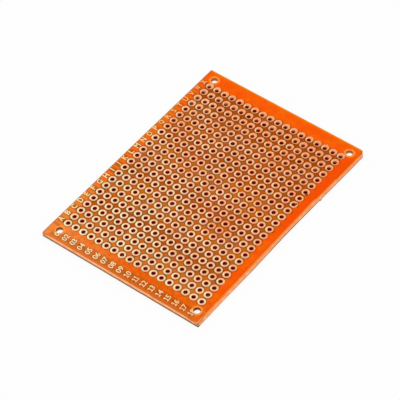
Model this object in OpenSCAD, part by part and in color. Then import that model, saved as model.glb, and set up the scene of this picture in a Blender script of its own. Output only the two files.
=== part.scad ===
// Single-sided prototype board: a punched phenolic laminate with one copper pad round every lead hole.
// The board lies on its plain side, copper up: +X runs along the numbered columns and +Y along
// the lettered rows. The origin is the middle of the underside.

/* [Board] */
// Width of the board, across the numbered columns
board_w = 50; // [30:1:100]
// Length of the board, along the lettered rows
board_l = 70; // [40:1:100]
// Thickness of the bare laminate
board_t = 1.2; // [0.8:0.1:2.4]
// Radius that handling has worn on each corner
corner_r = 0.5; // [0.1:0.1:2]

/* [Snapped edges] */
// Thickness of the web between the two scoring grooves, where the board was snapped off its panel
score_web = 0.5; // [0.2:0.05:0.7]
// Included angle of a scoring groove, in degrees
score_angle = 70; // [30:1:90]

/* [Hole grid] */
// Pitch of the lead holes, both ways
pitch = 2.54; // [2:0.01:5.08]
// Diameter of a lead hole
lead_hole_d = 1; // [0.6:0.05:1.4]
// Least strip of bare laminate beside the outer columns of pads
side_margin = 1.5; // [0.5:0.1:10]
// Least strip of bare laminate beyond the first and last rows of pads
end_margin = 4; // [0.5:0.1:12]
// How far the grid sits off the middle, to leave room for the column numbers below the first row
grid_shift = 0.45; // [0:0.05:0.5]

/* [Copper pads] */
// Thickness of the copper foil
foil_t = 0.035; // [0.018:0.001:0.105]
// Strip of bare laminate between neighbouring pads
pad_gap = 0.44; // [0.2:0.01:0.8]
// How far etching undercuts a pad's rim between its foot and its top
etch_undercut = 0.015; // [0.005:0.005:0.05]

/* [Mounting holes] */
// Diameter of a mounting hole
mount_hole_d = 2; // [1.5:0.1:3]
// Mean distance from a long edge to the mounting holes
mount_side_inset = 2.8; // [2.5:0.1:8]
// Distance from a short edge to the mounting holes
mount_end_inset = 3; // [2:0.1:8]
// How far the four mounting holes sit off the middle, towards the last column
mount_column_shift = 0.6; // [0:0.1:0.8]
// How far the four mounting holes sit off the middle, towards the last row
mount_row_shift = 0.1; // [0:0.1:0.5]
// Least strip of bare laminate between a mounting hole and a pad
mount_pad_gap = 0.2; // [0.1:0.05:1]

/* [Punching] */
// How much wider the punch's break-out leaves a hole at the underside, all round
breakout_w = 0.1; // [0.02:0.01:0.2]
// Depth of the break-out
breakout_depth = 0.2; // [0.05:0.05:0.5]

/* [Hidden] */
// How far every cut runs past the faces that it opens
overrun = 0.5;
// Sides of a round when it is drawn as a mesh
$fn = 48;

// The two bevels that the scoring grooves leave along each edge
score_depth = (board_t - score_web) / 2;
score_w = score_depth * tan(score_angle / 2);

// The pads fill the pitch but for the gap between them, and the grid takes as many as the board holds
pad_d = pitch - pad_gap;
columns = floor((board_w - 2 * side_margin - pad_d) / pitch) + 1;
rows = floor((board_l - 2 * end_margin - pad_d) / pitch) + 1;

alphabet = "abcdefghijklmnopqrstuvwxyz";
letters = len(alphabet);

// A row's letter, and two letters past the end of the alphabet
function row_letter(row) =
    row < letters
        ? alphabet[row]
        : str(alphabet[floor(row / letters) - 1], alphabet[row % letters]);

function row_node(row) = str("pad_row_", row_letter(row));

mount_sites = [
    for (side = [-1, 1], end = [-1, 1])
        [
            side * (board_w / 2 - mount_side_inset) + mount_column_shift,
            end * (board_l / 2 - mount_end_inset) + mount_row_shift
        ]
];

function grid_site(column, row) =
    [(column - (columns - 1) / 2) * pitch, (row - (rows - 1) / 2) * pitch + grid_shift];

// The grid leaves out a pad that would crowd a mounting hole
function clear_of_mounts(site) =
    min([for (mount = mount_sites) norm(site - mount)]) > (mount_hole_d + pad_d) / 2 + mount_pad_gap;

function row_sites(row) = [
    for (column = [0 : columns - 1])
        let (site = grid_site(column, row))
            if (clear_of_mounts(site)) site
];

lead_sites = [for (row = [0 : rows - 1]) each row_sites(row)];

// Section across a sheet that was scored from both faces and snapped at the web
module scored_section(w) {
    half = w / 2;
    face_half = half - score_w;
    polygon([
        [-face_half, 0],
        [face_half, 0],
        [half, score_depth],
        [half, board_t - score_depth],
        [face_half, board_t],
        [-face_half, board_t],
        [-half, board_t - score_depth],
        [-half, score_depth]
    ]);
}

// A bar of the scored section, w across and l long, along Y
module scored_bar(w, l) {
    translate([0, l / 2, 0])
        rotate([90, 0, 0])
            linear_extrude(height = l)
                scored_section(w);
}

// What is lost outside the worn corner at the origin, which points to +X and +Y
module corner_loss() {
    translate([-corner_r, -corner_r, -overrun])
        difference() {
            cube([corner_r + overrun, corner_r + overrun, board_t + 2 * overrun]);
            translate([0, 0, -overrun])
                cylinder(h = board_t + 4 * overrun, r = corner_r);
        }
}

// A hole punched through from the copper side, which breaks out wider at the underside
module punched_hole(d) {
    r = d / 2;
    rotate_extrude()
        polygon([
            [0, -overrun],
            [r + breakout_w, -overrun],
            [r + breakout_w, 0],
            [r, breakout_depth],
            [r, board_t + overrun],
            [0, board_t + overrun]
        ]);
}

// One etched pad: a flat copper ring round a lead hole, a little narrower at its top
module pad() {
    hole_r = lead_hole_d / 2;
    foot_r = pad_d / 2;
    rotate_extrude()
        polygon([
            [hole_r, 0],
            [foot_r, 0],
            [foot_r - etch_undercut, foil_t],
            [hole_r, foil_t]
        ]);
}

// The laminate sheet with its snapped edges, worn corners, lead holes and mounting holes
module laminate() {
    color("darkorange")
        difference() {
            intersection() {
                scored_bar(board_w, board_l);
                rotate([0, 0, 90])
                    scored_bar(board_l, board_w);
            }
            for (x = [0, 1], y = [0, 1])
                mirror([x, 0, 0])
                    mirror([0, y, 0])
                        translate([board_w / 2, board_l / 2, 0])
                            corner_loss();
            for (site = lead_sites)
                translate([site.x, site.y, 0])
                    punched_hole(lead_hole_d);
            for (site = mount_sites)
                translate([site.x, site.y, 0])
                    punched_hole(mount_hole_d);
        }
}

// One lettered row of pads, bonded to the laminate's upper face
module pad_row(row) {
    color("peachpuff")
        for (site = row_sites(row))
            translate([site.x, site.y, board_t])
                pad();
}

laminate();
for (row = [0 : rows - 1])
    pad_row(row);
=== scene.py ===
"""Looks of a single-sided prototype board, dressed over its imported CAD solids.

Lengths in the classes are millimetres in the board's own frame: +X runs along the numbered
columns, +Y along the lettered rows, and the underside lies at Z 0. They become metres only
where a mesh or a node input is made.

In the finishes, the two numbers of a rise say where it starts and where it is full: millimetres on
the board, or levels of a noise. A factor after it is the largest share that the colour takes.
"""

import logging
import math
from collections.abc import Iterator
from dataclasses import dataclass, field
from enum import Enum

import bmesh
import bpy
from mathutils import Matrix, Vector, noise


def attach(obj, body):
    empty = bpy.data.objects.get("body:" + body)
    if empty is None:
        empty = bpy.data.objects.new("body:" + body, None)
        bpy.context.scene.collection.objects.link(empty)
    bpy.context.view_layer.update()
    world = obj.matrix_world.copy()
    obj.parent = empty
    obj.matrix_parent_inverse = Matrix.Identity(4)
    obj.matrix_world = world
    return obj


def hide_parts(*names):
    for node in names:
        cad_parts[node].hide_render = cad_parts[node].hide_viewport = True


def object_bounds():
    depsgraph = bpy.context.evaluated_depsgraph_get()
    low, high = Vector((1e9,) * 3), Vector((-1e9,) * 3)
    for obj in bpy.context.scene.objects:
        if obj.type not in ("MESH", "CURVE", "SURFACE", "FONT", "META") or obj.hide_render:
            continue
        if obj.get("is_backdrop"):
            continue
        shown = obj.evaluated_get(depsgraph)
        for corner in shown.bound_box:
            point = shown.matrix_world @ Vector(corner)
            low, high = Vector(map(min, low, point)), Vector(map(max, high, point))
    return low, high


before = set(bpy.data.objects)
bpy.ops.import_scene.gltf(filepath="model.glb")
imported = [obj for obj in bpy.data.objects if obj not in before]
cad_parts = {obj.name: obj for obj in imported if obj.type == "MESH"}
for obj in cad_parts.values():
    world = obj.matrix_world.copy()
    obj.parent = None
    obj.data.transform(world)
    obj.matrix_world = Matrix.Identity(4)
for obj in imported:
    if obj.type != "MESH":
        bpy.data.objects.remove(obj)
cad_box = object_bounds()

MM = 0.001
BODY = "root"
TARNISH = "tarnish"
OUTER = "outer"
SLIPPED = "slipped"
POSITION = "GeometryNodeInputPosition"
HOLE_INPUTS = {
    "Columns": "Int",
    "Rows": "Int",
    "X": "Float",
    "Y": "Float",
    "Middle": "Vector",
    "Radius": "Float",
    "Breakout": "Float",
    "Rolled": "Float",
}
log = logging.getLogger("prototype_board")

Pair = tuple[float, float]
Triple = tuple[float, float, float]
Colour = Triple
Socket = bpy.types.NodeSocket


class Slot(Enum):
    """The record's material slots."""

    PHENOLIC = "phenolic"
    COPPER = "copper"


class Edge(Enum):
    """The sheet's four edges, in the order that its outline runs."""

    NUMBERED = "numbered"
    RIGHT = "right"
    FAR = "far"
    LETTERED = "lettered"


class Hole(Enum):
    """The two kinds of hole, by the word that their inputs to the punching start with."""

    LEAD = "Lead"
    MOUNT = "Mount"


@dataclass(frozen=True)
class BoardSizes:
    """Sizes that the CAD source gives the board, and how far this one board strays from them.

    The radii of the holes and pads and the rolled rims are as the photograph shows them.
    """

    width: float = 50.0
    length: float = 70.0
    thickness: float = 1.2
    score_depth: float = 0.35
    pitch: float = 2.54
    columns: int = 18
    rows: int = 24
    grid_shift: float = 0.45
    lead_radius: float = 0.52
    pad_radius: float = 1.1
    foil: float = 0.035
    etch_undercut: float = 0.015
    mount_radius: float = 0.95
    mount_span: Pair = (44.4, 64.0)
    mount_middle: Pair = (0.6, 0.1)
    breakout: float = 0.1
    breakout_depth: float = 0.2

    # The punch rolls the rim of a lead hole over by this much, and breaks out less below it
    rolled: float = 0.08
    lead_breakout: float = 0.015

    # The punch struck off the even grid, by one amount at the middle row and another at both ends
    struck_middle: Pair = (-0.12, 0.09)
    struck_ends: Pair = (0.16, -0.14)
    mount_struck: tuple[Pair, ...] = ((-0.1, -0.03), (-0.19, 0.14), (-0.3, 0.2), (0.05, -0.16))

    # The etched pads slip off their holes by this much at the last row, from this row on
    slip: float = 0.3
    slip_from: float = 12.0
    slip_power: float = 2.0

    # Where the legend stands, and how far each letter creeps off its row, from one row on
    letter_x: float = -23.86
    letter_creep: float = 0.024
    letter_still: float = 3.5
    number_y: float = -32.92
    number_shift: float = 0.2

    def column_x(self, column: int) -> float:
        """X of a column of pads, counted from 0."""
        return (column - (self.columns - 1) / 2) * self.pitch

    def row_y(self, row: int) -> float:
        """Y of a row of pads, counted from 0."""
        return (row - (self.rows - 1) / 2) * self.pitch + self.grid_shift

    def row_letter(self, row: int) -> str:
        """The capital letter of a row, counted from 0."""
        return chr(ord("A") + row)

    def letter_y(self, row: int) -> float:
        """Y of a row's letter, counted from 0."""
        return self.row_y(row) + self.letter_creep * (row - self.letter_still)

    def struck(self, row: int) -> Pair:
        """How far the punch struck a row's holes off the even grid.

        Args:
            row: The row, counted from 0.

        Returns:
            The distances in X and Y.
        """
        square = (2 * row / (self.rows - 1) - 1) ** 2
        across, along = (m + (e - m) * square for m, e in zip(self.struck_middle, self.struck_ends))
        return across, along

    def slip_at(self, row: int) -> float:
        """How far a row's pads slip off their holes, in Y."""
        late = max((row - self.slip_from) / (self.rows - 1 - self.slip_from), 0.0)
        return self.slip * late**self.slip_power

    def mount_sites(self) -> list[Pair]:
        """Where the four mounting holes were struck.

        Returns:
            Each one's X and Y.
        """
        (middle_x, middle_y), (wide, long) = self.mount_middle, self.mount_span
        even = [(middle_x + i * wide / 2, middle_y + j * long / 2) for i in (-1, 1) for j in (-1, 1)]
        return [(x + dx, y + dy) for (x, y), (dx, dy) in zip(even, self.mount_struck)]


class Value:
    """A number in a material's tree, which takes part in sums and steps."""

    def __init__(self, graph: "ShaderGraph", socket: Socket) -> None:
        """Wrap a socket.

        Args:
            graph: The tree that the socket is in.
            socket: The output that gives the number.
        """
        self.graph = graph
        self.socket = socket

    def __add__(self, other: "Number") -> "Value":
        """The sum."""
        return self.graph.math("ADD", self, other)

    def __sub__(self, other: "Number") -> "Value":
        """The difference."""
        return self.graph.math("SUBTRACT", self, other)

    def __rsub__(self, other: float) -> "Value":
        """What a plain number leaves over this one."""
        return self.graph.math("SUBTRACT", other, self)

    def __mul__(self, other: "Number") -> "Value":
        """The product."""
        return self.graph.math("MULTIPLY", self, other)

    def __truediv__(self, other: "Number") -> "Value":
        """The quotient."""
        return self.graph.math("DIVIDE", self, other)

    def __pow__(self, other: "Number") -> "Value":
        """The power."""
        return self.graph.math("POWER", self, other)

    def __abs__(self) -> "Value":
        """The number without its sign."""
        return self.graph.math("ABSOLUTE", self)

    def most(self, other: "Number") -> "Value":
        """The larger of two numbers."""
        return self.graph.math("MAXIMUM", self, other)

    def least(self, other: "Number") -> "Value":
        """The smaller of two numbers."""
        return self.graph.math("MINIMUM", self, other)

    def above(self, limit: float) -> "Value":
        """1 above a limit and 0 below it."""
        return self.graph.math("GREATER_THAN", self, limit)

    def wave(self) -> "Value":
        """The sine."""
        return self.graph.math("SINE", self)

    def wrap(self, period: float) -> "Value":
        """How far the number lies from the nearest multiple of a period."""
        return self.graph.math("WRAP", self, period / 2, -period / 2)

    def rise(self, low: float, high: float) -> "Value":
        """Smooth step.

        Args:
            low: Where the step gives 0.
            high: Where the step gives 1. It may lie below low.

        Returns:
            The step, from 0 to 1.
        """
        node = self.graph.nodes.new("ShaderNodeMapRange")
        node.interpolation_type = "SMOOTHSTEP"
        self.graph.feed(node.inputs["Value"], self)
        self.graph.feed(node.inputs["From Min"], min(low, high))
        self.graph.feed(node.inputs["From Max"], max(low, high))
        self.graph.feed(node.inputs["To Min"], 0.0 if low < high else 1.0)
        self.graph.feed(node.inputs["To Max"], 1.0 if low < high else 0.0)
        return Value(self.graph, node.outputs["Result"])


Number = Value | float


class ShaderGraph:
    """A material's node tree, with the point's place on the board and short calls for its nodes.

    The place is in millimetres in the board's frame.
    """

    def __init__(self, name: str) -> None:
        """Start an empty material.

        Args:
            name: The material's name.
        """
        self.material = bpy.data.materials.new(name)
        self.material.use_nodes = True
        self.nodes = self.material.node_tree.nodes
        self.links = self.material.node_tree.links
        self.nodes.clear()
        self.output = self.nodes.new("ShaderNodeOutputMaterial")
        self.place = self.scaled(self.nodes.new("ShaderNodeTexCoord").outputs["Object"], (1 / MM,) * 3)
        parts = self.nodes.new("ShaderNodeSeparateXYZ")
        self.feed(parts.inputs[0], self.place)
        self.x, self.y, self.z = (Value(self, socket) for socket in parts.outputs)

    def feed(self, socket: Socket, value: "Value | Socket | float | Triple") -> None:
        """Link a socket to another, or set it to a constant.

        Args:
            socket: The input to feed.
            value: A value or an output socket of the tree, a number, or three numbers.
        """
        if isinstance(value, Value):
            value = value.socket
        if isinstance(value, bpy.types.NodeSocket):
            self.links.new(value, socket)
        elif socket.type == "RGBA":
            socket.default_value = (*value, 1.0)
        else:
            socket.default_value = value

    def scaled(self, vector: Socket, factors: Triple) -> Socket:
        """Scale a vector.

        Args:
            vector: The vector's socket.
            factors: What each of its parts is multiplied by.

        Returns:
            The scaled vector's socket.
        """
        node = self.nodes.new("ShaderNodeVectorMath")
        node.operation = "MULTIPLY"
        for socket, value in zip(node.inputs, (vector, factors)):
            self.feed(socket, value)
        return node.outputs[0]

    def math(self, operation: str, *values: Number) -> Value:
        """One Math node.

        Args:
            operation: Blender's name of the operation.
            values: Its operands, in order.

        Returns:
            The result.
        """
        node = self.nodes.new("ShaderNodeMath")
        node.operation = operation
        for socket, value in zip(node.inputs, values):
            self.feed(socket, value)
        return Value(self, node.outputs[0])

    def span(self, x: Value, y: Value) -> Value:
        """Length of the flat vector x, y."""
        return self.math("SQRT", x * x + y * y)

    def blend(self, share: Number, below: "Socket | Colour", above: "Socket | Colour") -> Socket:
        """Mix two colours.

        Args:
            share: How much of the second colour shows.
            below: The first colour.
            above: The second colour.

        Returns:
            The mixed colour's socket.
        """
        node = self.nodes.new("ShaderNodeMix")
        node.data_type = "RGBA"
        self.feed(node.inputs["Factor"], share)
        self.feed(node.inputs[6], below)
        self.feed(node.inputs[7], above)
        return node.outputs[2]

    def grain(
        self, scale: float, detail: float = 3.0, roughness: float = 0.55, squeeze: Triple | None = None
    ) -> Value:
        """Noise over the board, from 0 to 1.

        Args:
            scale: Waves to the millimetre.
            detail: Octaves.
            roughness: Share of each finer octave.
            squeeze: How much more often the noise changes along X, Y and Z, where it isn't even.

        Returns:
            The noise.
        """
        node = self.nodes.new("ShaderNodeTexNoise")
        self.feed(node.inputs["Vector"], self.scaled(self.place, squeeze) if squeeze else self.place)
        self.feed(node.inputs["Scale"], scale)
        self.feed(node.inputs["Detail"], detail)
        self.feed(node.inputs["Roughness"], roughness)
        return Value(self, node.outputs["Fac"])

    def attribute(self, name: str) -> Value:
        """Read a number that the mesh carries.

        Args:
            name: The attribute's name.

        Returns:
            The number.
        """
        node = self.nodes.new("ShaderNodeAttribute")
        node.attribute_name = name
        return Value(self, node.outputs["Fac"])

    def relief(self, height: Value, strength: float, depth: float) -> Socket:
        """Bump from a height.

        Args:
            height: The height, from 0 to 1.
            strength: Bump strength.
            depth: What a height of 1 stands for, in millimetres.

        Returns:
            The bent normal's socket.
        """
        node = self.nodes.new("ShaderNodeBump")
        self.feed(node.inputs["Strength"], strength)
        self.feed(node.inputs["Distance"], depth * MM)
        self.feed(node.inputs["Height"], height)
        return node.outputs["Normal"]

    def surface(self, **sockets: "Value | Socket | float | Colour") -> bpy.types.Material:
        """Close the tree with a Principled surface.

        Args:
            sockets: Its inputs, named with underscores for spaces.

        Returns:
            The material.
        """
        shader = self.nodes.new("ShaderNodeBsdfPrincipled")
        for name, value in sockets.items():
            self.feed(shader.inputs[name.replace("_", " ")], value)
        self.links.new(shader.outputs[0], self.output.inputs["Surface"])
        return self.material


class Paint:
    """A colour that others are laid over, one after the other."""

    def __init__(self, graph: ShaderGraph, ground: Colour) -> None:
        """Start from a plain colour.

        Args:
            graph: The material's tree.
            ground: The colour under all the others.
        """
        self.graph = graph
        self.colour: "Socket | Colour" = ground

    def lay(self, share: Number, colour: "Socket | Colour") -> None:
        """Lay a colour over what is there, by a share from 0 to 1."""
        self.colour = self.graph.blend(share, self.colour, colour)


def seen_directly(tree: bpy.types.NodeTree) -> Socket:
    """Tell what the camera sees, itself or in a mirror or glass, from what only lights the scene.

    Args:
        tree: The node tree of the floor or the world.

    Returns:
        A socket that gives 1 on rays from the camera, and on glossy and transmitted rays.
    """
    path = tree.nodes.new("ShaderNodeLightPath")
    seen = path.outputs["Is Camera Ray"]
    for name in ("Is Glossy Ray", "Is Transmission Ray"):
        either = tree.nodes.new("ShaderNodeMath")
        either.operation = "MAXIMUM"
        tree.links.new(seen, either.inputs[0])
        tree.links.new(path.outputs[name], either.inputs[1])
        seen = either.outputs[0]
    return seen


def in_cell(g: ShaderGraph, s: BoardSizes, etched: bool) -> tuple[Value, Value]:
    """Place inside one cell of the grid, from the middle of its hole or of its pad.

    Args:
        g: The material's tree.
        s: The board's sizes.
        etched: Whether to measure from the etched pad, which may have slipped off its hole.

    Returns:
        X and Y from the middle.
    """
    last = s.rows - 1
    share = (g.y - s.grid_shift) / (s.pitch * last / 2)
    square = share * share
    first = (s.column_x(0), s.row_y(0))
    across, along = (
        value - (square * (end - middle) + (start + middle))
        for value, start, middle, end in zip((g.x, g.y), first, s.struck_middle, s.struck_ends)
    )
    if etched:
        scale = 1 / (last - s.slip_from)
        late = share * (last / 2 * scale) + (last / 2 - s.slip_from) * scale
        along = along - late.most(0.0) ** s.slip_power * s.slip
    return across.wrap(s.pitch), along.wrap(s.pitch)


def from_mounts(g: ShaderGraph, s: BoardSizes) -> Value:
    """Measure from the nearest mounting hole.

    Args:
        g: The material's tree.
        s: The board's sizes.

    Returns:
        The distance from the hole's middle.
    """
    nearest, *others = [g.span(g.x - x, g.y - y) for x, y in s.mount_sites()]
    for other in others:
        nearest = nearest.least(other)
    return nearest


class FaceGraph(ShaderGraph):
    """The face's tree, with the noises and zones that several of its layers read.

    Wear follows the paper's blotches, so most zones are drawn on places that drift with them.
    """

    drift: float = 8.0

    def __init__(self, name: str, s: BoardSizes) -> None:
        """Start the material and set out its zones.

        Args:
            name: The material's name.
            s: The board's sizes.
        """
        super().__init__(name)

        # Paper shows through the resin as soft blotches, coarser mottling and fine fibres
        self.blotch = self.grain(0.35, 2.0)
        self.mottle = self.grain(0.8, 3.0, 0.65)
        self.fibre = self.grain(5.0, 4.0, 0.7)
        self.waver = self.fibre * 0.2

        # The handled end, its first columns, and the margin of the letters
        off = self.blotch * self.drift
        self.drifted_y = self.y + off
        self.near = self.drifted_y.rise(-20.0, -29.0)
        self.first = (self.x + off).rise(10.0, -20.0)
        self.margin = self.x.rise(-22.2, -23.2) * abs(self.y).rise(31.5, 30.0)

        # How far outside the grid of pads a point lies
        off_x = abs(self.x) - s.column_x(s.columns - 1)
        off_y = abs(self.y - s.grid_shift) - (s.row_y(s.rows - 1) - s.grid_shift)
        beyond = off_x.most(off_y)
        self.in_grid = beyond.rise(1.0, -0.2)
        self.by_pads = beyond.rise(1.4, 1.25)


@dataclass(frozen=True)
class FaceFinish:
    """Glossy phenolic face: bright at the border, darker between the pads, partly stain and partly painted
    shade, crazed round the holes.
    """

    sizes: BoardSizes
    border: Colour = (0.98, 0.093, 0.0002)
    border_pale: Colour = (0.98, 0.14, 0.0006)
    border_deep: Colour = (0.95, 0.07, 0.0002)
    scratched: Colour = (0.78, 0.095, 0.001)
    worn: Colour = (0.80, 0.135, 0.004)
    wear_and_sheen: Colour = (0.98, 0.265, 0.05)
    margin_pale: Colour = (0.98, 0.18, 0.004)
    smudged: Colour = (0.60, 0.11, 0.003)
    handled: Colour = (0.66, 0.15, 0.018)
    far_light: Colour = (0.86, 0.27, 0.01)
    edge_shade: Colour = (0.30, 0.15, 0.07)
    ochre: Colour = (0.58, 0.138, 0.003)
    rust: Colour = (0.43, 0.108, 0.034)
    umber: Colour = (0.37, 0.062, 0.006)
    far_stain: Colour = (0.36, 0.05, 0.0005)
    etch_stain_and_shade: Colour = (0.14, 0.06, 0.002)
    legend_stain_and_shade: Colour = (0.13, 0.044, 0.005)
    crazed: Colour = (0.98, 0.38, 0.06)
    plain_side: Colour = (0.78, 0.105, 0.004)

    # The residue's dark bands along the rows
    band: float = 14.7
    band_phase: float = 1.6

    # How much the far edge runs askew, and how far round a mounting hole the resin is crazed
    far_skew: float = 0.0045
    craze: float = 0.35

    # The score beside the last column lies at this X, and steps out twice further along
    score_x: float = 24.74
    score_steps: tuple[Triple, ...] = ((13.3, 14.6, 0.33), (21.5, 30.0, 0.36))

    def paper(self, g: FaceGraph) -> Paint:
        """Resin with the paper showing through.

        Args:
            g: The face's tree.

        Returns:
            The colour, for wear and dirt to be laid over.
        """
        paint = Paint(g, self.border)
        paint.lay(g.blotch.rise(0.35, 0.75), self.border_pale)
        paint.lay(g.fibre.rise(0.55, 0.8) * 0.2, self.handled)
        return paint

    def wear(self, g: FaceGraph, paint: Paint) -> None:
        """Lay wear over the borders.

        Args:
            g: The face's tree.
            paint: The colour so far.
        """
        # Handling has worn the numbered end, and a painted sheen makes it paler at its first columns
        paint.lay(g.near * 0.75, self.worn)
        paint.lay(g.near * (g.first * 0.88), self.wear_and_sheen)

        # The lettered margin is paler towards the numbered end, partly wear and partly painted sheen, and
        # the face fades towards the far edge
        paler = (g.blotch * 0.6 + 0.45) * g.y.rise(34.0, 8.0)
        paint.lay(g.margin * paler, self.margin_pale)
        paint.lay(g.margin * g.drifted_y.rise(-4.0, -16.0) * 0.95, self.wear_and_sheen)
        paint.lay(g.y.rise(32.5, 35.2) * 0.55, self.border_pale)

        # The margin beside the last column is deeper towards the far end, and its score is scratched
        beside = g.x.rise(22.0, 23.2) * g.drifted_y.rise(-2.0, 8.0) * g.y.rise(31.5, 29.0)
        paint.lay(beside * 0.8, self.border_deep)
        from_score = g.x - self.score_x
        for start, end, step in self.score_steps:
            from_score = from_score - g.y.rise(start, end) * step
        paint.lay(from_score.rise(-0.6, -0.2) * 0.55, self.scratched)

        # Coarser mottling, most of all at the numbered end
        coarse = g.near * (0.6 - g.first * 0.3) + 0.14
        paint.lay(g.mottle.rise(0.48, 0.64) * coarse, self.smudged)
        paint.lay(g.mottle.rise(0.48, 0.3) * (coarse * 0.6), self.wear_and_sheen)

        # The two corners of the numbered end are paler, most of all the one by A01
        tips = abs(g.x).rise(21.5, 24.0) * g.y.rise(-31.0, -33.5)
        paint.lay(tips * (g.x.rise(0.0, -10.0) * 0.3 + 0.1), self.wear_and_sheen)

    def dirt(self, g: FaceGraph, paint: Paint) -> None:
        """Lay on the dirt of the edges, a painted highlight along the far edge, the stain and painted
        shade round the legend, and painted shade along the lettered edge.

        Args:
            g: The face's tree.
            paint: The colour so far.
        """
        # A pale band is painted along the far edge as the highlight of its bevel, and the lettered and
        # numbered edges have been touched
        s = self.sizes
        far_y, left_x = s.length / 2, -s.width / 2
        far = (g.x * self.far_skew + (g.waver * 0.3 + g.y)).rise(far_y - 0.72, far_y - 0.42)
        paint.lay(far * 0.9, self.far_light)
        strip = g.y.rise(-33.3, -34.2) * abs(g.x).rise(24.0, 22.5)
        thumbed = g.margin * (g.y.rise(26.0, 6.0) * 0.32 + 0.08)
        paint.lay(thumbed.most(strip) * (g.blotch * 0.6 + 0.4), self.handled)

        # Each number and letter has a dark patch of its own round it, partly stain and partly painted
        # shade
        column = (g.x - (s.column_x(0) + s.number_shift)).wrap(s.pitch)
        by_number = abs(column).rise(1.5, 0.8) * abs(g.y - s.number_y).rise(1.35, 0.75)
        by_number = by_number * abs(g.x).rise(23.3, 22.8) * (g.x.rise(4.0, -6.0) * 0.1 + 0.5)
        shrink = 1 - s.letter_creep / s.pitch
        row = (g.y * shrink + (s.letter_creep * s.letter_still - s.row_y(0) * shrink)).wrap(s.pitch)
        by_letter = abs(g.x - (s.letter_x + 0.4)).rise(1.1, 0.7) * abs(row).rise(1.1, 0.5)
        by_letter = by_letter * abs(g.y).rise(31.2, 30.6) * (g.y.rise(10.0, -5.0) * 0.15 + 0.4)
        paint.lay(by_number.most(by_letter) * (g.fibre * 0.8 + 0.5), self.legend_stain_and_shade)
        # A dark line is painted along the lettered edge as shade
        paint.lay((g.x - g.waver).rise(left_x + 0.45, left_x + 0.05) * 0.8, self.edge_shade)

    def residue_and_shade(self, g: FaceGraph) -> Socket:
        """The colour between the pads: partly what etching left and partly painted shade, in patches and
        in darker bands along the rows.

        Args:
            g: The face's tree.

        Returns:
            The colour's socket.
        """
        paint = Paint(g, self.ochre)
        paint.lay(g.grain(0.36, 3.0, 0.6).rise(0.44, 0.58), self.rust)
        bands = (g.drifted_y * (math.tau / self.band) + self.band_phase).wave()
        paint.lay((g.mottle * 1.6 + bands).rise(0.3, 1.7) * 0.75, self.umber)
        patchy = g.grain(0.5, 2.0).rise(0.36, 0.64) * 0.7 + 0.52
        paint.lay((g.x * 0.3 + g.drifted_y).rise(8.0, 30.0) * patchy, self.far_stain)
        # Paler towards the numbered end, partly wear and partly painted sheen
        paint.lay(g.y.rise(-21.0, -28.0) * 0.3, self.wear_and_sheen)
        paint.lay(g.fibre * 0.14, self.border)
        return paint.colour

    def material(self) -> bpy.types.Material:
        """Build the material.

        Returns:
            The material.
        """
        s = self.sizes
        g = FaceGraph("phenolic_face", s)
        paint = self.paper(g)
        self.wear(g, paint)
        self.dirt(g, paint)
        # Between the pads the face is darker, partly residue and partly painted shade
        paint.lay(g.in_grid * 0.95, self.residue_and_shade(g))
        # A dark ring round the foot of each pad, partly stain and partly painted shade
        rim = g.span(*in_cell(g, s, etched=True)).rise(s.pad_radius + 0.28, s.pad_radius + 0.07)
        uneven = g.mottle.rise(0.38, 0.6) * 0.5 + 0.5
        paint.lay(rim * g.by_pads * uneven, self.etch_stain_and_shade)

        # The punch crazes the resin round the mounting holes, and round every hole where it breaks out
        wander = g.grain(1.6, 3.0) * 0.7
        halo = (from_mounts(g, s) - wander).rise(s.mount_radius + self.craze, s.mount_radius - 0.05)
        paint.lay(halo * 0.75, self.crazed)
        chipped = g.span(*in_cell(g, s, etched=False)) - wander * 0.45
        ring = chipped.rise(s.lead_radius + 0.22, s.lead_radius) * g.by_pads
        both = Paint(g, self.plain_side)
        both.lay(g.blotch.rise(0.3, 0.8), self.border)
        both.lay(ring.most(halo) * 0.8, self.crazed)
        both.lay(g.z.rise(s.thickness * 0.4, s.thickness * 0.6), paint.colour)
        return g.surface(
            Base_Color=both.colour,
            Roughness=g.fibre * 0.22 + g.in_grid * 0.12 + 0.24,
            Normal=g.relief(g.fibre * 0.5 + g.blotch * 0.5, 0.35, 0.02),
            Specular_IOR_Level=0.015,
        )


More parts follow.
